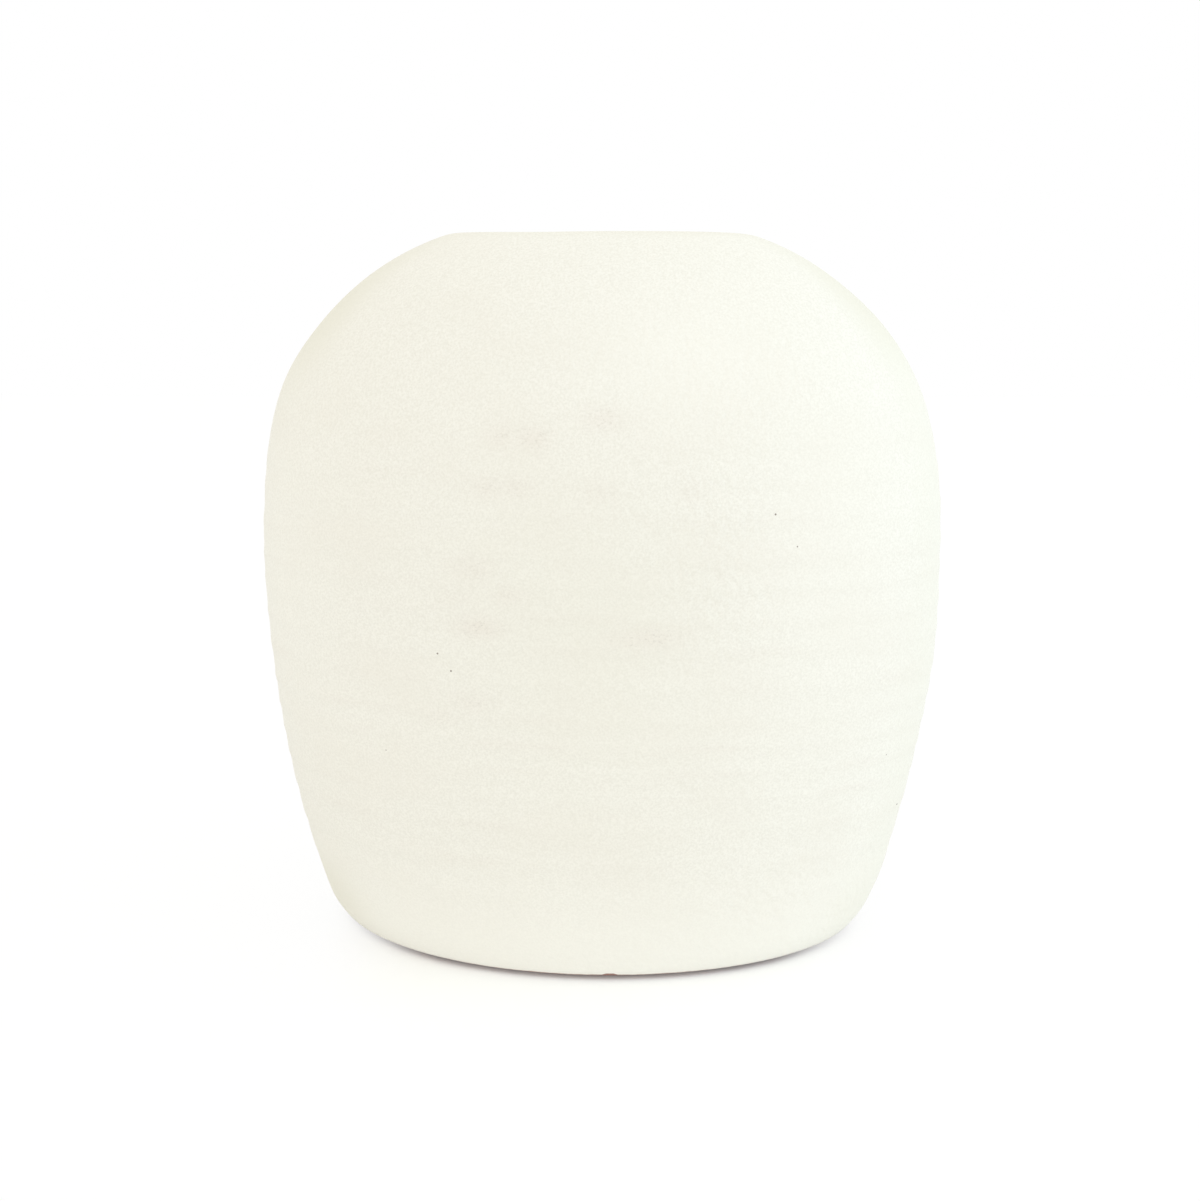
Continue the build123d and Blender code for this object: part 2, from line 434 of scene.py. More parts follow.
def worked_grid(shape, hand, profile, columns, ring_share):
    """The profile carried round the oval and moved by the marks of the hand.

    point = (half width * cos u, half depth * sin u, height) + outward * relief * core, where core is the
    fourth power of the share of the outside's half width, so that the marks die away on floors. The lip then
    rises towards its left end, the ends of the foot rise by lift * (across / half foot) ** 2, and the foot is
    turned and moved a little against the belly.
    """
    angle = np.linspace(0, 2 * pi, columns, endpoint=False)[None, :]
    cos_u, sin_u = np.cos(angle), np.sin(angle)
    half_width, half_depth, height = (profile[:, [axis]] for axis in range(3))
    height = height + 0 * angle
    points = np.stack((half_width * cos_u, half_depth * sin_u, height), axis=-1)

    sizes, slopes = oval_sizes(shape, profile[:, 2])
    wide, deep = sizes[:, [0]], sizes[:, [1]]
    lean = cos_u**2 * slopes[:, [0]] / wide + sin_u**2 * slopes[:, [1]] / deep
    outward = np.stack((cos_u / wide, sin_u / deep, lean), axis=-1)
    outward /= np.linalg.norm(outward, axis=-1, keepdims=True)
    outward[..., 2] *= rise(height, LEVEL_BELOW, SQUARE_ABOVE)

    relief = hand_relief(hand, angle, height) + ring_share * throwing_rings(hand, angle, height)
    core = np.clip(half_width / wide, 0, 1) ** 4
    points += outward * (relief * core)[..., None]

    lip = rise(height, TOP - LIFT_REACH, TOP)
    points[..., 2] += lip * hand.rim_lift * rise(-cos_u, LIFT_START, 1.0)

    sprung = (points[..., 0] / (shape.foot_width / 2)) ** 2 * (1 - rise(height, 0.0, SPRING_REACH))
    points[..., 2] += hand.end_lift * sprung

    low = 1 - rise(height, 0.0, TWIST_REACH)
    twist = hand.foot_twist * low
    across, along = points[..., 0].copy(), points[..., 1].copy()
    points[..., 0] = across * np.cos(twist) - along * np.sin(twist) + hand.foot_shift * low
    points[..., 1] = across * np.sin(twist) + along * np.cos(twist)
    return points, angle + 0 * height


def ring_mesh(points):
    """Vertices and four-sided faces of a grid that closes on itself both ways."""
    rows, columns = points.shape[:2]
    numbers = np.arange(rows * columns).reshape(rows, columns)
    across = np.roll(numbers, -1, axis=1)
    up = np.roll(numbers, -1, axis=0)
    faces = np.stack((numbers, across, np.roll(across, -1, axis=0), up), axis=-1)
    return points.reshape(-1, 3), faces.reshape(-1, 4), np.empty((0, 3), int)


def capped_mesh(points):
    """Vertices, four-sided faces and end fans of a grid that closes round, and at a pole at each end.

    The first and last rows are drawn together to their middles.
    """
    inner = points[1:-1]
    rows, columns = inner.shape[:2]
    numbers = np.arange(rows * columns).reshape(rows, columns)
    across = np.roll(numbers, -1, axis=1)
    quads = np.stack((numbers[:-1], across[:-1], across[1:], numbers[1:]), axis=-1).reshape(-1, 4)
    first, last = rows * columns, rows * columns + 1
    start = np.stack((np.full(columns, first), across[0], numbers[0]), axis=-1)
    end = np.stack((np.full(columns, last), numbers[-1], across[-1]), axis=-1)
    poles = np.stack((points[0].mean(axis=0), points[-1].mean(axis=0)))
    return np.vstack((inner.reshape(-1, 3), poles)), quads, np.vstack((start, end))


def volume_of(vertices, quads, fans):
    """Signed volume inside the faces: a sixth of the triple products of each triangle's corners."""
    corners = np.vstack((quads[:, [0, 1, 2]], quads[:, [0, 2, 3]], fans))
    first, second, third = (vertices[corners[:, place]] for place in range(3))
    return np.einsum("ij,ij->", first, np.cross(second, third)) / 6


def make_piece(name, vertices, quads, fans, material, node, slot):
    """A smooth closed mesh, faces outwards, that stands for a node of the pot."""
    if volume_of(vertices, quads, fans) < 0:
        quads, fans = quads[:, ::-1], fans[:, ::-1]
    mesh = bpy.data.meshes.new(name)
    mesh.vertices.add(len(vertices))
    mesh.vertices.foreach_set("co", vertices.astype(np.float32).ravel())
    corners = np.concatenate((quads.ravel(), fans.ravel())).astype(np.int32)
    mesh.loops.add(len(corners))
    mesh.loops.foreach_set("vertex_index", corners)
    totals = np.concatenate((np.full(len(quads), 4), np.full(len(fans), 3))).astype(np.int32)
    mesh.polygons.add(len(totals))
    mesh.polygons.foreach_set("loop_start", (np.cumsum(totals) - totals).astype(np.int32))
    mesh.polygons.foreach_set("loop_total", totals)
    mesh.polygons.foreach_set("use_smooth", np.ones(len(totals), bool))
    mesh.update(calc_edges=True)
    if mesh.validate():
        raise RuntimeError(f"The mesh of {name} has faces that do not join up")
    mesh.materials.append(material)
    piece = bpy.data.objects.new(name, mesh)
    bpy.context.scene.collection.objects.link(piece)
    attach(piece, "root")
    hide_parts(node)
    return piece


def paint_points(piece, name, values):
    """Stores one number per point for the piece's material to read."""
    layer = piece.data.attributes.new(name, "FLOAT", "POINT")
    layer.data.foreach_set("value", values.astype(np.float32).ravel())


# Profiles of the pieces, as rows of half width, half depth and height

# Rows up the clay wall, the liner's face, and the clay sides of the liner and the outer glaze
WALL_ROWS, LINER_ROWS, LINER_BACK_ROWS, GLAZE_BACK_ROWS = 90, 110, 60, 40

# Rows in along the slab's faces and the liner's floor
SLAB_ROWS, FLOOR_ROWS = 30, 24


def mouth_row(shape, set_in, height):
    """Row on the upright oval of the mouth, set in from the outer edge of the lip."""
    return np.array((shape.mouth_width / 2 - set_in, shape.mouth_depth / 2 - set_in, height))


def foot_row(shape, set_in, height):
    """Row on the oval of the foot, set in from where its edge would be unrounded."""
    half_width = shape.foot_width / 2 - shape.end_tuck
    return np.array((half_width - set_in, shape.foot_depth / 2 - set_in, height))


def opened(shape, rows, set_in):
    """Rows of the hollow, widened to the oval of the mouth as far down as the opening keeps its size."""
    mouth = mouth_row(shape, set_in, 0)[:2]
    near_lip = rows[:, [2]] > TOP - shape.mouth_reach
    rows[:, :2] = np.where(near_lip, np.maximum(rows[:, :2], mouth), rows[:, :2])
    return rows


def hollow(shape, low, high, count, coat):
    """Rows of the inside of the clay, or of the coat on it, from one height to another."""
    foot_inset = shape.wall_at_foot + GLAZE + coat
    lip_inset = shape.wall_at_lip + GLAZE + coat
    low_inset, high_inset = np.interp((low, high), (FLOOR, CLAY_TOP), (foot_inset, lip_inset))
    rows = skin(shape, low, high, count, low_inset, high_inset)
    return opened(shape, rows, shape.lip_width - GLAZE + coat)


def floor_corner(shape, coat):
    """Three rows round the corner inside: up the wall, in the corner and in on the floor."""
    level = FLOOR + coat
    wall, corner = hollow(shape, level + COIL_LEG, level, 2, coat)
    return wall, corner, corner - (COIL_LEG, COIL_LEG, 0)


def outer_glaze_profile(shape, hand):
    """Once round the outer coat: up in the mouth, over the lip, down outside and back up on the clay side.

    Upright and flat stretches are straight, and the edges of the lip and the glaze line are eased.
    """
    lip, edge = shape.lip_width, shape.lip_round
    mouth_low, mouth_high = mouth_row(shape, lip, LINER_TOP), mouth_row(shape, lip, TOP - edge)
    lip_inner, lip_outer = mouth_row(shape, lip - edge, TOP), mouth_row(shape, edge, TOP)
    clay_high, clay_low = mouth_row(shape, lip - GLAZE, CLAY_TOP), mouth_row(shape, lip - GLAZE, LINER_TOP)
    outside = skin(shape, TOP - 0.5 * edge, GLAZE_LINE + 0.5 * GLAZE, hand.outside_rows)
    lowest = skin_rows(shape, np.array([GLAZE_LINE]), 0)[0]
    clay = skin(shape, GLAZE_LINE, CLAY_TOP, GLAZE_BACK_ROWS, GLAZE)
    return np.vstack((
        straight(mouth_low, mouth_high, 5),
        eased(mouth_high, mouth_row(shape, lip, TOP), lip_inner, 6),
        straight(lip_inner, lip_outer, 4),
        eased(lip_outer, mouth_row(shape, 0, TOP), outside[0], 5),
        outside,
        eased(outside[-1], lowest, clay[0], 5)[1:],
        clay,
        straight(clay_high, clay_low, 2),
        clay_low[None],
    ))


def thrown_wall_profile(shape):
    """Once round the clay wall: up outside, over the lip, down in the mouth and down inside."""
    outside = skin(shape, WALL_BOTTOM, CLAY_TOP, WALL_ROWS, GLAZE)
    mouth_edge = mouth_row(shape, shape.lip_width - GLAZE, CLAY_TOP)
    return np.vstack((
        outside,
        straight(outside[-1], mouth_edge, 4)[1:],
        hollow(shape, CLAY_TOP, WALL_BOTTOM, WALL_ROWS, 0),
    ))


def slip_joint_profile(shape):
    """Once round the ring of slip: up outside, in under the wall, down inside and out over the slab."""
    outside = skin_rows(shape, np.array([FLOOR, WALL_BOTTOM]), GLAZE)
    inside = hollow(shape, WALL_BOTTOM, FLOOR, 2, 0)
    return np.vstack((
        straight(outside[0], outside[1], 3),
        straight(outside[1], inside[0], 6),
        straight(inside[0], inside[1], 3),
        straight(inside[1], outside[0], 6),
    ))


def seam_coil_profile(shape):
    """Once round the coil: along the wall, along the floor, and back over its coved face."""
    wall, corner, floor = floor_corner(shape, 0)
    return np.vstack((straight(wall, corner, 6), straight(corner, floor, 6), eased(floor, corner, wall, 10)))


def liner_glaze_profile(shape):
    """From the middle of the coated floor out and up to the top of the coat, and back on its clay side."""
    rows = []
    for coat, count in ((GLAZE, LINER_ROWS), (0, LINER_BACK_ROWS)):
        wall, corner, floor = floor_corner(shape, coat)
        middle = floor * (0, 0, 1)
        side = hollow(shape, wall[2], LINER_TOP, count, coat)
        rows.append(np.vstack((straight(middle, floor, FLOOR_ROWS), eased(floor, corner, wall, 10), side)))
    return np.vstack((rows[0], rows[1][::-1]))


def base_slab_profile(shape):
    """From the middle of the hollow under the foot, over the standing ring and round its edge, to the floor.

    The hollow's side is two eased curves, and the bare edge follows the rounded foot of the clay.
    """
    ring = shape.foot_round + shape.foot_ring_width
    hollow_depth = shape.foot_hollow_depth
    middle = np.array((0.0, 0.0, 1.0))
    hollow_edge = foot_row(shape, ring + 2 * hollow_depth, hollow_depth)
    hollow_side = foot_row(shape, ring, hollow_depth / 2)
    ring_edge = foot_row(shape, ring - hollow_depth, 0)
    bare_edge = skin_rows(shape, shape.foot_round * (1 - np.cos(np.linspace(0, pi / 2, 16))), GLAZE)
    clay_top = skin_rows(shape, np.array([FLOOR]), GLAZE)[0]
    return np.vstack((
        straight(middle * hollow_depth, hollow_edge, SLAB_ROWS),
        eased(hollow_edge, foot_row(shape, ring + hollow_depth, hollow_depth), hollow_side, 6),
        eased(hollow_side, foot_row(shape, ring, 0), ring_edge, 5),
        straight(ring_edge, bare_edge[0], 9),
        bare_edge,
        straight(bare_edge[-1], clay_top, 4)[1:],
        straight(clay_top, middle * FLOOR, SLAB_ROWS),
        (middle * FLOOR)[None],
    ))


# Materials

# Radius of the scattered iron specks in both glazes
SPECK_RADIUS = 0.0003

# Depths at which the front face begins, and beyond which all is front face
FRONT_START, FRONT_FULL = -0.004, -0.012

# Nick in the edge of the outer glaze: place along the width, half widths at its top and at the edge, height
NICK_PLACE, NICK_FLAT, NICK_HALF, NICK_HEIGHT = 0.003, 0.0008, 0.0024, 0.0004

# Heights between which the blush over the bare foot dies away
BLUSH_LOW, BLUSH_TOP = GLAZE_LINE + 0.00015, GLAZE_LINE + 0.0004

# Liner: top of the pool, size of the runs, spacing of the specks, size and depth of the ripples
POOL_TOP, RUN_SIZE, LINER_SPACING = 0.06, 0.012, 0.009
RIPPLE_SIZE, RIPPLE_DEPTH = 0.003, 0.00012

# Clay: size of the fire clouds, spacing of the grog, spacing and radius of the specks, wiped marks and grit
FIRE_SIZE, GROG_SPACING, CLAY_SPACING, CLAY_SPECK = 0.03, 0.0016, 0.004, 0.0004
WIPE_SIZE, WIPE_DEPTH = 0.0025, 0.0002
GRIT_SIZE, GRIT_DEPTH = 0.0007, 0.00015

# Slip: size of the streaks, size and depth of the dried grain
STREAK_SIZE, DRIED_SIZE, DRIED_DEPTH = 0.006, 0.001, 0.0001


def add_node(tree, kind, inputs=None, **settings):
    """A shader node with its settings, and its inputs set to values or joined to sockets."""
    made = tree.nodes.new(kind)
    for name, value in settings.items():
        setattr(made, name, value)
    for key, value in (inputs or {}).items():
        if isinstance(value, bpy.types.NodeSocket):
            tree.links.new(value, made.inputs[key])
        else:
            made.inputs[key].default_value = value
    return made


def maths(tree, operation, first, second=0.0):
    """Result of a sum on numbers or sockets."""
    return add_node(tree, "ShaderNodeMath", {0: first, 1: second}, operation=operation).outputs[0]


def ramp(tree, value, low, high, start=0.0, end=1.0):
    """Smooth change from start, where the value is low, to end, where it is high."""
    sums = {"Value": value, "From Min": low, "From Max": high, "To Min": start, "To Max": end}
    return add_node(tree, "ShaderNodeMapRange", sums, interpolation_type="SMOOTHSTEP").outputs["Result"]


def mixed(tree, amount, first, second):
    """Colour between two, by an amount from 0 to 1."""
    return add_node(tree, "ShaderNodeMix", {0: amount, 6: first, 7: second}, data_type="RGBA").outputs[2]


def noise(tree, place, size, detail=2.0, roughness=0.5):
    """Cloudy noise with clouds of about the given size in metres."""
    settings = {"Vector": place, "Scale": 1 / size, "Detail": detail, "Roughness": roughness}
    return add_node(tree, "ShaderNodeTexNoise", settings).outputs[0]


def stretched(tree, place, scale):
    """The place with its axes stretched, so that a pattern on it is drawn out."""
    return add_node(tree, "ShaderNodeMapping", {"Vector": place, "Scale": scale}).outputs[0]


def object_place(tree):
    """Where a point lies in the shared frame."""
    return add_node(tree, "ShaderNodeTexCoord").outputs["Object"]


def axes_of(tree, place):
    """The place's measures along X, Y and Z."""
    return add_node(tree, "ShaderNodeSeparateXYZ", {0: place}).outputs


def empty_tree(owner):
    """The emptied shader tree of a material or a world."""
    owner.use_nodes = True
    owner.node_tree.nodes.clear()
    return owner.node_tree


def new_material(name):
    """A new material: its tree, its shader, and the place on the piece."""
    material = bpy.data.materials.new(name)
    tree = empty_tree(material)
    shader = add_node(tree, "ShaderNodeBsdfPrincipled")
    add_node(tree, "ShaderNodeOutputMaterial", {"Surface": shader.outputs[0]})
    return material, tree, shader, object_place(tree)


def finish_surface(tree, shader, tone, roughness, layers):
    """Joins colour and roughness, and raises the surface by each layer: its pattern, and its depth."""
    tree.links.new(tone, shader.inputs["Base Color"])
    tree.links.new(roughness, shader.inputs["Roughness"])
    normal = None
    for pattern, depth in layers:
        inputs = {"Height": pattern, "Distance": depth, "Strength": 1.0}
        if normal:
            inputs["Normal"] = normal
        normal = add_node(tree, "ShaderNodeBump", inputs).outputs[0]
    tree.links.new(normal, shader.inputs["Normal"])


def cell_distance(tree, place, spacing):
    """Distance to the middle of the nearest cell, as a share of the spacing of the cells."""
    settings = {"Vector": place, "Scale": 1 / spacing}
    return add_node(tree, "ShaderNodeTexVoronoi", settings, feature="F1").outputs["Distance"]


def scattered_specks(tree, place, spacing, radius):
    """1 inside sparse specks: the middles of cells that lie within a radius of the surface."""
    share_out = radius / spacing
    return ramp(tree, cell_distance(tree, place, spacing), 0.6 * share_out, 1.1 * share_out, 1.0, 0.0)


def attribute(tree, name):
    """The number that is stored at each point under a name."""
    return add_node(tree, "ShaderNodeAttribute", attribute_name=name).outputs["Fac"]


def front_specks(tree, place):
    """1 inside the listed specks, by the distance across and up to each, and 1 on the front face."""
    axes = axes_of(tree, place)
    flat = add_node(tree, "ShaderNodeCombineXYZ", {"X": axes["X"], "Z": axes["Z"]}).outputs[0]
    total = None
    for across, up, radius in IRON_SPECKS:
        ends = {0: flat, 1: (across, 0, up)}
        away = add_node(tree, "ShaderNodeVectorMath", ends, operation="DISTANCE").outputs["Value"]
        inside = ramp(tree, away, 0.6 * radius, 1.3 * radius, 1.0, 0.0)
        total = inside if total is None else maths(tree, "MAXIMUM", total, inside)
    front = ramp(tree, axes["Y"], FRONT_FULL, FRONT_START, 1.0, 0.0)
    return maths(tree, "MULTIPLY", total, front), front


def cream_glaze_material(look, texture):
    """Matte cream glaze: fine grain, soft clouds, a warm lip, painted shade, and painted light that pales it
    above the foot and in patches.

    It has thin and pitted places, iron specks, a blush at the bare foot, and a pebbled orange-peel surface.
    """
    material, tree, shader, place = new_material("cream_matte_glaze")
    axes = axes_of(tree, place)
    grain = noise(tree, place, texture.grain_size, 4, 0.65)
    tone = mixed(tree, ramp(tree, grain, 0.32, 0.68), look.cream_deep, look.cream_pale)
    cloudy = noise(tree, stretched(tree, place, (1, 1, 1.6)), texture.cloud_size, 3)
    tone = mixed(tree, ramp(tree, cloudy, 0.4, 0.7, 0.0, 0.3), tone, look.cream_warm)

    # Painted light: the glaze is painted paler towards the foot, as if lit by the floor
    painted_light = ramp(tree, axes["Z"], texture.painted_light_low, texture.painted_light_top, 1.0, 0.0)
    tone = mixed(tree, painted_light, tone, look.painted_light)

    # Warm lip and painted shade where the stored number is above 0, painted light where it is below
    lip_and_painted_shading = attribute(tree, "warm_lip_and_painted_shading")
    tone = mixed(tree, lip_and_painted_shading, tone, look.warm_lip_and_painted_shade)
    tone = mixed(tree, maths(tree, "MULTIPLY", lip_and_painted_shading, -1.0), tone, look.painted_light)

    thin = attribute(tree, "thin_glaze")
    tone = mixed(tree, maths(tree, "MULTIPLY", thin, 0.3), tone, look.thin_glaze)
    pitted = noise(tree, stretched(tree, place, (1, 1, 1.4)), texture.pit_size, 3, 0.6)
    pits = ramp(tree, pitted, 0.52, 0.7, 0.0, 0.5)
    tone = mixed(tree, maths(tree, "MULTIPLY", thin, pits), tone, look.pit)

    listed, front = front_specks(tree, place)
    others = scattered_specks(tree, place, texture.speck_spacing, SPECK_RADIUS)
    others = maths(tree, "MULTIPLY", others, maths(tree, "SUBTRACT", 1.0, front))
    specks = maths(tree, "MAXIMUM", listed, others)
    tone = mixed(tree, maths(tree, "MULTIPLY", specks, 0.75), tone, look.iron)

    ragged = maths(tree, "MULTIPLY", noise(tree, place, texture.wander_size, 3), texture.edge_wander)
    off_nick = maths(tree, "ABSOLUTE", maths(tree, "SUBTRACT", axes["X"], NICK_PLACE))
    nick = ramp(tree, off_nick, NICK_FLAT, NICK_HALF, NICK_HEIGHT, 0.0)
    edge_height = maths(tree, "SUBTRACT", maths(tree, "SUBTRACT", axes["Z"], ragged), nick)
    blush = ramp(tree, edge_height, BLUSH_LOW, BLUSH_TOP, 1.0, 0.0)
    tone = mixed(tree, blush, tone, look.foot_blush)

    shader.inputs["Specular IOR Level"].default_value = 0.22
    sheen = ramp(tree, noise(tree, place, texture.sheen_size, 2), 0.3, 0.7, 0.52, 0.62)
    peel = noise(tree, place, texture.peel_size, 1, 0.4)
    patchy = ramp(tree, noise(tree, place, texture.peel_patch, 1), 0.38, 0.62, 0.35, 1.0)
    pebbles = maths(tree, "MULTIPLY", peel, maths(tree, "ADD", patchy, attribute(tree, "pebbled")))
    layers = ((pebbles, texture.peel_depth), (grain, texture.grain_depth))
    finish_surface(tree, shader, tone, sheen, layers)
    return material


def liner_glaze_material(look):
    """Satin cream glaze inside, pooled and a little greyer towards the floor, with fine specks."""
    material, tree, shader, place = new_material("cream_satin_liner")
    pooled = ramp(tree, axes_of(tree, place)["Z"], FLOOR, POOL_TOP, 0.8, 0.0)
    runs = noise(tree, stretched(tree, place, (1, 1, 0.25)), RUN_SIZE, 3)
    greyer = maths(tree, "MULTIPLY", maths(tree, "ADD", pooled, runs), 0.6)
    tone = mixed(tree, greyer, look.liner, look.liner_pool)
    specks = scattered_specks(tree, place, LINER_SPACING, SPECK_RADIUS)
    tone = mixed(tree, maths(tree, "MULTIPLY", specks, 0.6), tone, look.iron)
    satin = ramp(tree, runs, 0.3, 0.7, 0.3, 0.42)
    ripples = noise(tree, place, RIPPLE_SIZE, 1)
    finish_surface(tree, shader, tone, satin, ((ripples, RIPPLE_DEPTH),))
    return material


def stoneware_material(look):
    """Bare reddish-brown stoneware: fire clouds, pale and dark grit, and wiped marks round the foot."""
    material, tree, shader, place = new_material("bare_stoneware")
    fire = ramp(tree, noise(tree, place, FIRE_SIZE, 4, 0.6), 0.35, 0.7)
    tone = mixed(tree, fire, look.clay, look.clay_dark)
    pale = ramp(tree, cell_distance(tree, place, GROG_SPACING), 0.1, 0.32, 0.4, 0.0)
    tone = mixed(tree, pale, tone, look.grog)
    specks = scattered_specks(tree, place, CLAY_SPACING, CLAY_SPECK)
    tone = mixed(tree, maths(tree, "MULTIPLY", specks, 0.8), tone, look.iron)
    dull = ramp(tree, fire, 0, 1, 0.78, 0.88)
    wiped = noise(tree, stretched(tree, place, (0.3, 1, 1)), WIPE_SIZE, 2)
    gritty = noise(tree, place, GRIT_SIZE, 2, 0.7)
    finish_surface(tree, shader, tone, dull, ((wiped, WIPE_DEPTH), (gritty, GRIT_DEPTH)))
    return material


def slip_material(look):
    """Dried slip: paler than the clay, streaked along the joint."""
    material, tree, shader, place = new_material("luting_slip")
    streaks = noise(tree, stretched(tree, place, (1, 1, 4)), STREAK_SIZE, 3)
    tone = mixed(tree, ramp(tree, streaks, 0.35, 0.7), look.slip, look.clay)
    dull = ramp(tree, streaks, 0.3, 0.7, 0.8, 0.92)
    dried = noise(tree, place, DRIED_SIZE, 2, 0.6)
    finish_surface(tree, shader, tone, dull, ((dried, DRIED_DEPTH),))
    return material


def background_rays(tree):
    """1 on rays that should see the plain background: from the camera, from gloss and through glass."""
    path = add_node(tree, "ShaderNodeLightPath").outputs
    seen = maths(tree, "MAXIMUM", path["Is Camera Ray"], path["Is Glossy Ray"])
    return maths(tree, "MAXIMUM", seen, path["Is Transmission Ray"])


def floor_material(stage):
    """White floor: in the picture, the shadow on it gives way to plain white towards the ends of the pot."""
    material = bpy.data.materials.new("white_floor")
    tree = empty_tree(material)
    seen = background_rays(tree)
    paper = mixed(tree, seen, stage.floor_colour, stage.floor_seen)
    lit = add_node(tree, "ShaderNodeBsdfDiffuse", {"Color": paper})
    off_middle = maths(tree, "ABSOLUTE", axes_of(tree, object_place(tree))["X"])
    whites = (stage.floor_white, stage.end_white)
    whiter = ramp(tree, off_middle, stage.shadow_full, stage.shadow_end, *whites)
    white = add_node(tree, "ShaderNodeEmission", {"Color": (1, 1, 1, 1), "Strength": 1.0})
    amount = maths(tree, "MULTIPLY", seen, whiter)
    both = add_node(tree, "ShaderNodeMixShader", {0: amount, 1: lit.outputs[0], 2: white.outputs[0]})
    add_node(tree, "ShaderNodeOutputMaterial", {"Surface": both.outputs[0]})
    return material


# Patterns that the points of the outer glaze carry

# Thin places: half height, and how much lower they lie on the back
THIN_HALF_HEIGHT, BACK_DROP = 0.003, 0.0104

# Thin ring crests: strength, and heights where they begin and are full
CREST_STRENGTH, CREST_START, CREST_FULL = 0.35, 0.018, 0.045

# Warm lip: strength, and how far down it goes
LIP_WARMTH, LIP_WARM_REACH = 0.35, 0.002

# Painted shade, warm and darker, at the right end: strength, and shares of the half width where it begins and
# is full
RIGHT_PAINTED_SHADE, RIGHT_START, RIGHT_FULL = 0.35, 0.8, 0.97


def glaze_thinness(hand, points, angle):
    """Where the glaze is thin: bells drawn out along the rings at each thin place, and faint ring crests.

    The back has the same places, mirrored and about a ring lower.
    """
    across, depth, up = points[..., 0], points[..., 1], points[..., 2]
    crests = np.clip(throwing_rings(hand, angle, up) / hand.ring_depth, 0, 1)
    patches = np.sin(7 * angle + 61 * up) * np.cos(4 * angle - 130 * up) + 0.6 * np.sin(11 * angle - 45 * up)
    thin = CREST_STRENGTH * crests * np.clip(patches, 0, 1) * rise(up, CREST_START, CREST_FULL)
    for middle, level, reach, strength in THIN_PLACES:
        for side, drop in ((-1, 0.0), (1, BACK_DROP)):
            off_across = (across * -side - middle) / reach
            off_up = (up - level + drop) / THIN_HALF_HEIGHT
            bell = strength * np.exp(-(off_across**2) - off_up**2)
            thin = np.maximum(thin, np.where(depth * side > 0, bell, 0))
    return thin


def face_bells(points, places):
    """Sum of a bell across and up for each place on the front face, mirrored on the back."""
    across = np.where(points[..., 1] < 0, points[..., 0], -points[..., 0])
    up = points[..., 2]
    total = np.zeros(across.shape)
    for middle, level, wide, tall, strength in places:
        total += strength * np.exp(-(((across - middle) / wide) ** 2) - ((up - level) / tall) ** 2)
    return total


def warm_lip_and_painted_shading(points, angle):
    """How much warmer and darker the glaze is painted, or paler below 0: the most of the warm lip and the
    painted shade at the ends, and the patches of painted shade and painted light.

    The painted shade lies in bells in height at the ends of the shoulder and the foot, and at the right end;
    the edge of the lip is warmer too.
    """
    up, to_right = points[..., 2], np.cos(angle)
    lip = LIP_WARMTH * rise(up, TOP - LIP_WARM_REACH, TOP)
    # Painted shade at the right end, and the warm lip
    warmest = np.maximum(lip, RIGHT_PAINTED_SHADE * rise(to_right, RIGHT_START, RIGHT_FULL))
    # Painted shade at the ends of the shoulder and of the foot
    for level, tall, start, full, left_strength, right_strength in PAINTED_SHADE_AT_ENDS:
        bell = rise(np.abs(to_right), start, full) * np.exp(-(((up - level) / tall) ** 2))
        warmest = np.maximum(warmest, bell * np.where(to_right < 0, left_strength, right_strength))
    # Patches of painted shade and painted light on both faces
    return warmest + face_bells(points, PAINTED_LIGHT_SHADE_PATCHES)


# Operators


class VaseBuild:
    """What the operators share."""

    bl_options = {"REGISTER", "UNDO"}

    def settings(self, context):
        """The sizes, marks, colours and glaze patterns that are set in the scene."""
        scene = context.scene
        return scene.pot_shape, scene.hand_marks, scene.pot_look, scene.glaze_texture


class VASE_OT_clay_body(VaseBuild, Operator):
    """Make the thrown wall, the slab under it, and the slip and coil that join them"""

    bl_idname = "vase.clay_body"
    bl_label = "Clay body"

    def execute(self, context):
        shape, hand, look, _ = self.settings(context)
        clay, slip = stoneware_material(look), slip_material(look)
        for name, node, profile, close, material, ring_share in (
            ("pressed_wall", "thrown_wall", thrown_wall_profile(shape), ring_mesh, clay, 1.0),
            ("foot_slab", "base_slab", base_slab_profile(shape), capped_mesh, clay, 0.0),
            ("luting_slip", "slip_joint", slip_joint_profile(shape), ring_mesh, slip, 0.0),
            ("corner_coil", "seam_coil", seam_coil_profile(shape), ring_mesh, clay, 0.0),
        ):
            points, _ = worked_grid(shape, hand, profile, hand.columns // 2, ring_share)
            make_piece(name, *close(points), material, node, "stoneware")
        return {"FINISHED"}


class VASE_OT_liner_coat(VaseBuild, Operator):
    """Make the glaze that lines the pot"""

    bl_idname = "vase.liner_coat"
    bl_label = "Liner glaze"

    def execute(self, context):
        shape, hand, look, _ = self.settings(context)
        points, _ = worked_grid(shape, hand, liner_glaze_profile(shape), hand.columns // 2, 1.0)
        glaze = liner_glaze_material(look)
        make_piece("liner_coat", *capped_mesh(points), glaze, "liner_glaze", "liner_glaze")
        return {"FINISHED"}


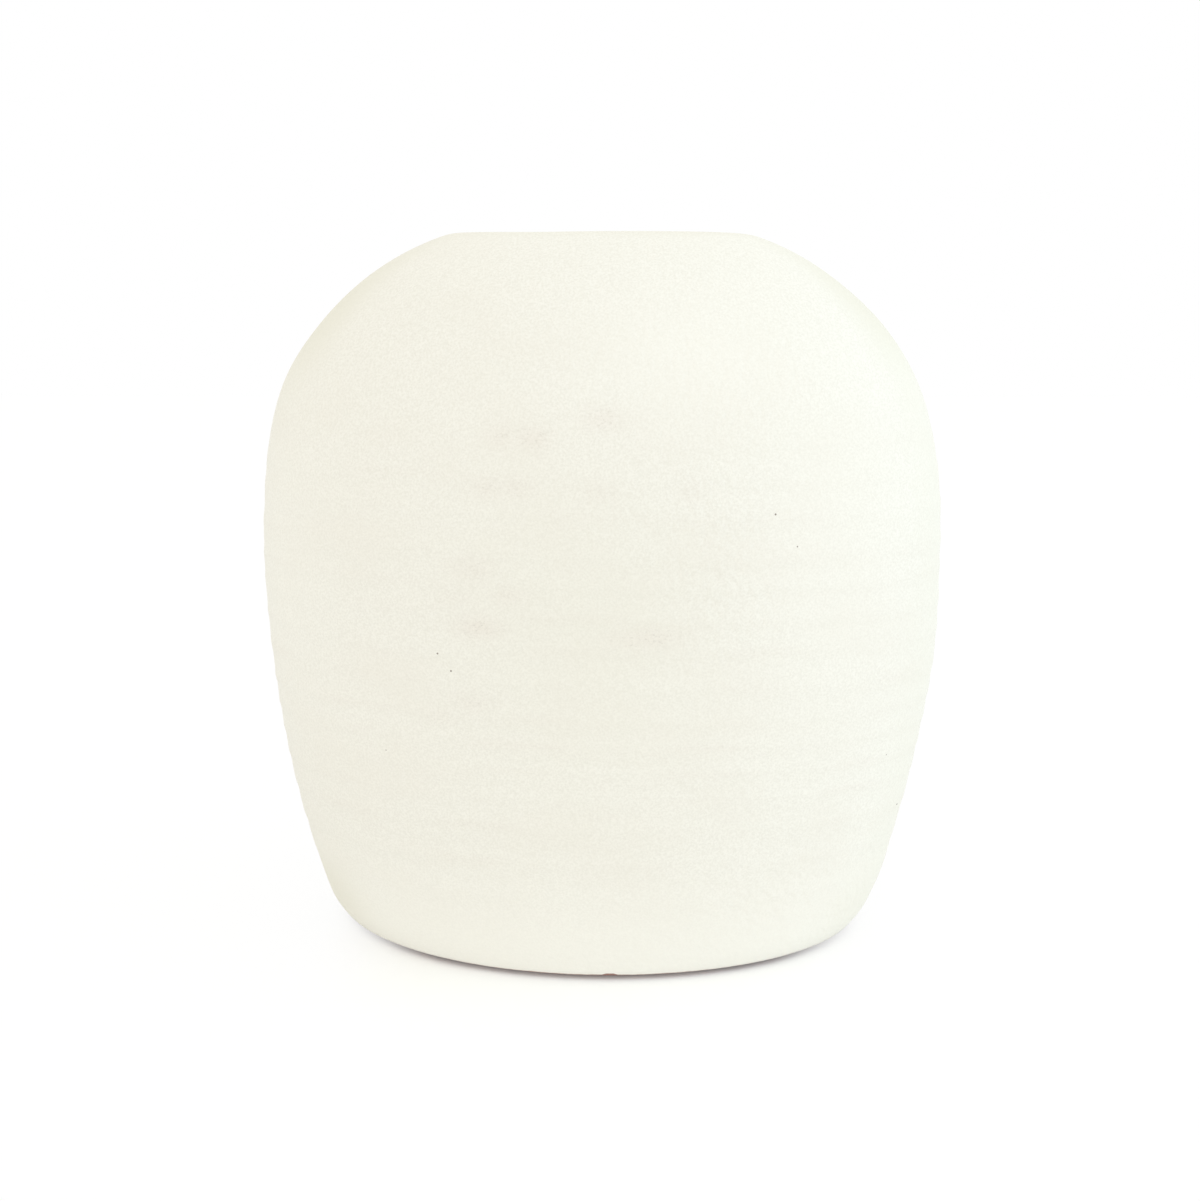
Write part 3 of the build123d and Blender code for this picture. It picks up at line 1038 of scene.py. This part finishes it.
class VASE_OT_outer_coat(VaseBuild, Operator):
    """Make the cream glaze outside, over the lip and down to the bare foot edge"""

    bl_idname = "vase.outer_coat"
    bl_label = "Outer glaze"

    def execute(self, context):
        shape, hand, look, texture = self.settings(context)
        points, angle = worked_grid(shape, hand, outer_glaze_profile(shape, hand), hand.columns, 1.0)
        glaze = cream_glaze_material(look, texture)
        piece = make_piece("outer_coat", *ring_mesh(points), glaze, "outer_glaze", "cream_glaze")
        paint_points(piece, "thin_glaze", glaze_thinness(hand, points, angle))
        # Warm lip, painted shade and painted light of the outer glaze
        paint_points(piece, "warm_lip_and_painted_shading", warm_lip_and_painted_shading(points, angle))
        paint_points(piece, "pebbled", face_bells(points, PEBBLED_PLACES))
        return {"FINISHED"}


class VASE_OT_stage(VaseBuild, Operator):
    """Set the floor, the even light, the window light and the camera"""

    bl_idname = "vase.stage"
    bl_label = "Stage"

    def execute(self, context):
        scene, stage = context.scene, context.scene.stage_setup
        scene.view_settings.view_transform = "Standard"
        self.lay_floor(scene, stage)
        self.light_world(scene, stage)
        self.hang_lamp(scene, stage)
        self.place_camera(scene, stage)
        return {"FINISHED"}

    def lay_floor(self, scene, stage):
        half = stage.floor_size / 2
        corners = ((-half, -half, 0), (half, -half, 0), (half, half, 0), (-half, half, 0))
        mesh = bpy.data.meshes.new("floor")
        mesh.from_pydata(corners, [], [(0, 1, 2, 3)])
        mesh.materials.append(floor_material(stage))
        floor = bpy.data.objects.new("floor", mesh)
        scene.collection.objects.link(floor)

    def light_world(self, scene, stage):
        world = bpy.data.worlds.new("even_light")
        scene.world = world
        tree = empty_tree(world)
        even = {"Color": stage.fill_colour, "Strength": stage.fill_level}
        fill = add_node(tree, "ShaderNodeBackground", even).outputs[0]
        white = add_node(tree, "ShaderNodeBackground", {"Color": (1, 1, 1, 1), "Strength": 1.0}).outputs[0]
        both = add_node(tree, "ShaderNodeMixShader", {0: background_rays(tree), 1: fill, 2: white})
        add_node(tree, "ShaderNodeOutputWorld", {"Surface": both.outputs[0]})

    def hang_lamp(self, scene, stage):
        lamp = bpy.data.lights.new("window_light", "AREA")
        lamp.shape = "SQUARE"
        lamp.size = stage.lamp_size
        lamp.color = stage.key_colour[:3]
        # The energy at which a face turned to the lamp gets key_level times the light of a fill of 1
        lamp.energy = stage.key_level * pi**2 * stage.lamp_distance**2
        turn, climb = stage.key_turn, stage.key_rise
        away = Vector((sin(turn) * cos(climb), -cos(turn) * cos(climb), sin(climb)))
        hung = bpy.data.objects.new("window_light", lamp)
        hung.location = Vector((0, 0, TOP / 2)) + away * stage.lamp_distance
        hung.rotation_euler = away.to_track_quat("Z", "Y").to_euler()
        scene.collection.objects.link(hung)

    def place_camera(self, scene, stage):
        lens = bpy.data.cameras.new("camera")
        lens.sensor_width = 36
        lens.lens = stage.camera_lens
        lens.clip_start = 0.01
        camera = bpy.data.objects.new("camera", lens)
        camera.location = stage.camera_place
        camera.rotation_euler = stage.camera_turn
        scene.collection.objects.link(camera)
        scene.camera = camera


class VASE_PT_sidebar(Panel):
    """Sizes, colours and steps of the vase."""

    bl_idname = "VASE_PT_sidebar"
    bl_label = "Pillow vase"
    bl_space_type = "VIEW_3D"
    bl_region_type = "UI"
    bl_category = "Pillow vase"

    def draw(self, context):
        for step in STEPS:
            self.layout.operator(step.bl_idname)
        for group in GROUPS:
            box = self.layout.box()
            settings = getattr(context.scene, group)
            for name in settings.__annotations__:
                box.prop(settings, name)


STEPS = (VASE_OT_clay_body, VASE_OT_liner_coat, VASE_OT_outer_coat, VASE_OT_stage)
GROUPS = {
    "pot_shape": PotShape,
    "hand_marks": HandMarks,
    "pot_look": PotLook,
    "glaze_texture": GlazeTexture,
    "stage_setup": StageSetup,
}
CLASSES = (*GROUPS.values(), *STEPS, VASE_PT_sidebar)


def register():
    for part in CLASSES:
        bpy.utils.register_class(part)
    for name, group in GROUPS.items():
        setattr(bpy.types.Scene, name, PointerProperty(type=group))


def unregister():
    for name in GROUPS:
        delattr(bpy.types.Scene, name)
    for part in reversed(CLASSES):
        bpy.utils.unregister_class(part)


def main():
    register()
    bpy.ops.vase.clay_body()
    bpy.ops.vase.liner_coat()
    bpy.ops.vase.outer_coat()
    bpy.ops.vase.stage()


if __name__ == "__main__":
    main()
